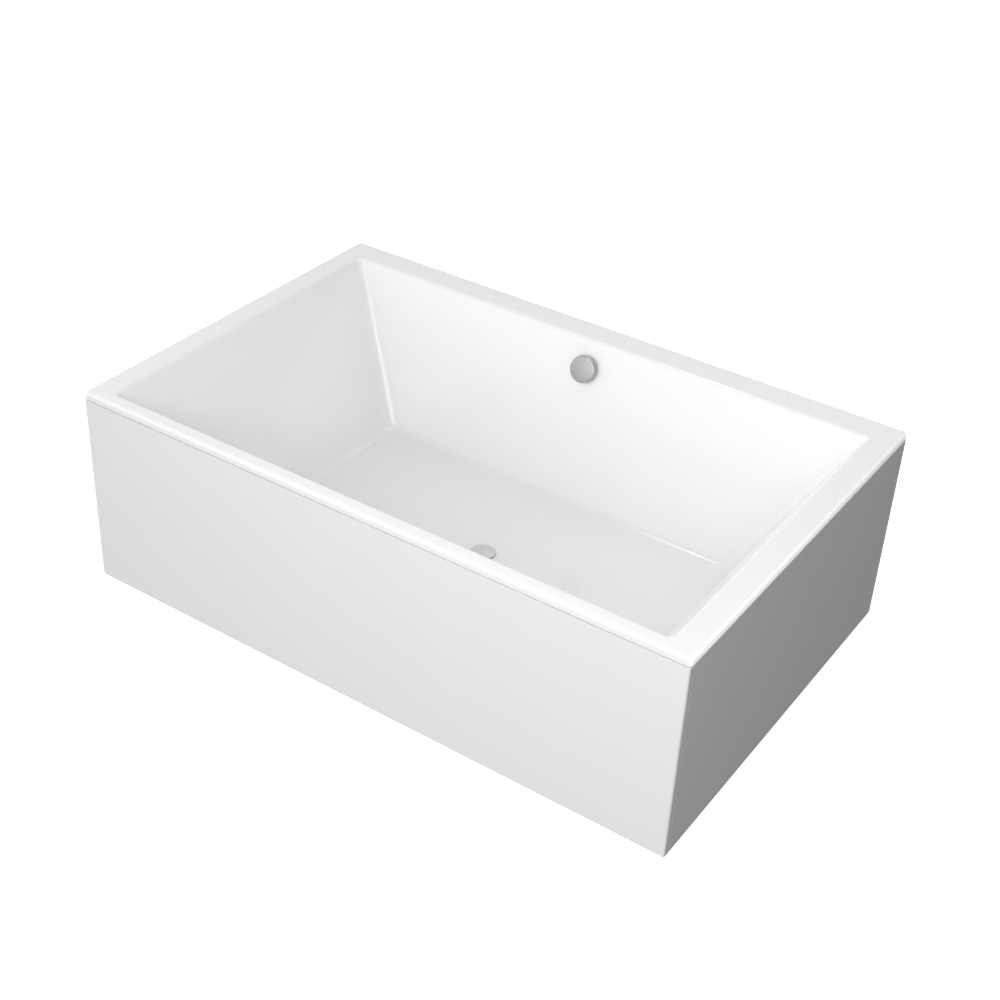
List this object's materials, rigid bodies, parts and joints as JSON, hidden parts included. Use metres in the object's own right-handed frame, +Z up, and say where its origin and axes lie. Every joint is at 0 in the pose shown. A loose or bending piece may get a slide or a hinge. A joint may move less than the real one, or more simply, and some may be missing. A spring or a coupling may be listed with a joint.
{
  "type": "freestanding bathtub",
  "caption": "Rectangular double-ended bathtub with sloping backrests, a thin flat rim, flat side panels, levelling feet, a rotary overflow cap and a pop-up waste.",
  "frame": {"origin": "on the floor under the middle of the outer rectangle", "axes": "+Z up, +X along the long side, +Y to the wide rim with the overflow"},
  "size_m": [1.7, 1.1, 0.56],
  "materials": {
    "tub_acrylic": "glossy white sanitary acrylic sheet",
    "panel_acrylic": "glossy white acrylic-faced panel",
    "chrome_plate": "polished chrome plate",
    "spindle_zinc": "bare turned steel",
    "zinc_steel": "zinc-plated steel",
    "spring_steel": "bent spring steel",
    "angle_aluminium": "mill-finish extruded aluminium",
    "frame_paint": "dark powder-coated steel tube",
    "chipboard": "pressed chipboard",
    "batten_wood": "sawn softwood",
    "waste_plastic": "white moulded polypropylene",
    "nut_plastic": "black moulded polypropylene",
    "foot_plastic": "black moulded plastic",
    "gasket_rubber": "black nitrile rubber",
    "seal_rubber": "grey extruded rubber strip",
    "cable_sheath": "black extruded cable sheath"
  },
  "bodies": {
    "tub": {"tub_shell": "tub_acrylic", "base_board": "chipboard", "rim_batten_front": "batten_wood", "rim_batten_back": "batten_wood", "rim_batten_left": "batten_wood", "rim_batten_right": "batten_wood", "front_panel": "panel_acrylic", "back_panel": "panel_acrylic", "left_panel": "panel_acrylic", "right_panel": "panel_acrylic", "panel_seal_front": "seal_rubber", "panel_seal_back": "seal_rubber", "panel_seal_left": "seal_rubber", "panel_seal_right": "seal_rubber", "corner_angle_front_left": "angle_aluminium", "corner_angle_front_right": "angle_aluminium", "corner_angle_back_left": "angle_aluminium", "corner_angle_back_right": "angle_aluminium", "panel_clip_front": "spring_steel", "panel_clip_back": "spring_steel", "panel_clip_left": "spring_steel", "panel_clip_right": "spring_steel", "frame_rail_front": "frame_paint", "frame_rail_back": "frame_paint", "frame_cross_left": "frame_paint", "frame_cross_right": "frame_paint", "overflow_faceplate": "chrome_plate", "overflow_gasket": "gasket_rubber", "overflow_body": "waste_plastic", "overflow_pipe": "waste_plastic", "bowden_cable": "cable_sheath", "waste_flange": "chrome_plate", "waste_gasket": "gasket_rubber", "waste_body": "waste_plastic", "trap_cup": "waste_plastic", "trap_nut": "nut_plastic", "outlet_pipe": "waste_plastic", "lock_nut_1": "zinc_steel", "lock_nut_2": "zinc_steel", "lock_nut_3": "zinc_steel", "lock_nut_4": "zinc_steel", "lock_nut_5": "zinc_steel", "lock_nut_6": "zinc_steel"},
    "knob": {"overflow_knob": "chrome_plate", "knob_spindle": "spindle_zinc"},
    "plug": {"waste_plug": "chrome_plate", "plug_seal": "gasket_rubber"},
    "foot_1": {"foot_pad_1": "foot_plastic", "foot_rod_1": "zinc_steel"},
    "foot_2": {"foot_pad_2": "foot_plastic", "foot_rod_2": "zinc_steel"},
    "foot_3": {"foot_pad_3": "foot_plastic", "foot_rod_3": "zinc_steel"},
    "foot_4": {"foot_pad_4": "foot_plastic", "foot_rod_4": "zinc_steel"},
    "foot_5": {"foot_pad_5": "foot_plastic", "foot_rod_5": "zinc_steel"},
    "foot_6": {"foot_pad_6": "foot_plastic", "foot_rod_6": "zinc_steel"}
  },
  "joints": [
    {"name": "knob_turn", "type": "hinge", "parent": "tub", "child": "knob", "pos_m": [0, 0.4349, 0.4855], "axis": [0, -0.9314, 0.3639], "range_deg": [0, 90]},
    {"name": "plug_lift", "type": "slide", "parent": "tub", "child": "plug", "axis": [0, 0, 1], "range_m": [0, 0.01]},
    {"name": "foot_1_height", "type": "slide", "parent": "tub", "child": "foot_1", "axis": [0, 0, -1], "range_m": [-0.012, 0.01]},
    {"name": "foot_2_height", "type": "slide", "parent": "tub", "child": "foot_2", "axis": [0, 0, -1], "range_m": [-0.012, 0.01]},
    {"name": "foot_3_height", "type": "slide", "parent": "tub", "child": "foot_3", "axis": [0, 0, -1], "range_m": [-0.012, 0.01]},
    {"name": "foot_4_height", "type": "slide", "parent": "tub", "child": "foot_4", "axis": [0, 0, -1], "range_m": [-0.012, 0.01]},
    {"name": "foot_5_height", "type": "slide", "parent": "tub", "child": "foot_5", "axis": [0, 0, -1], "range_m": [-0.012, 0.01]},
    {"name": "foot_6_height", "type": "slide", "parent": "tub", "child": "foot_6", "axis": [0, 0, -1], "range_m": [-0.012, 0.01]}
  ],
  "couplings": [
    {"joint": "plug_lift", "follows": "knob_turn", "m_per_rad": 0.0063}
  ]
}
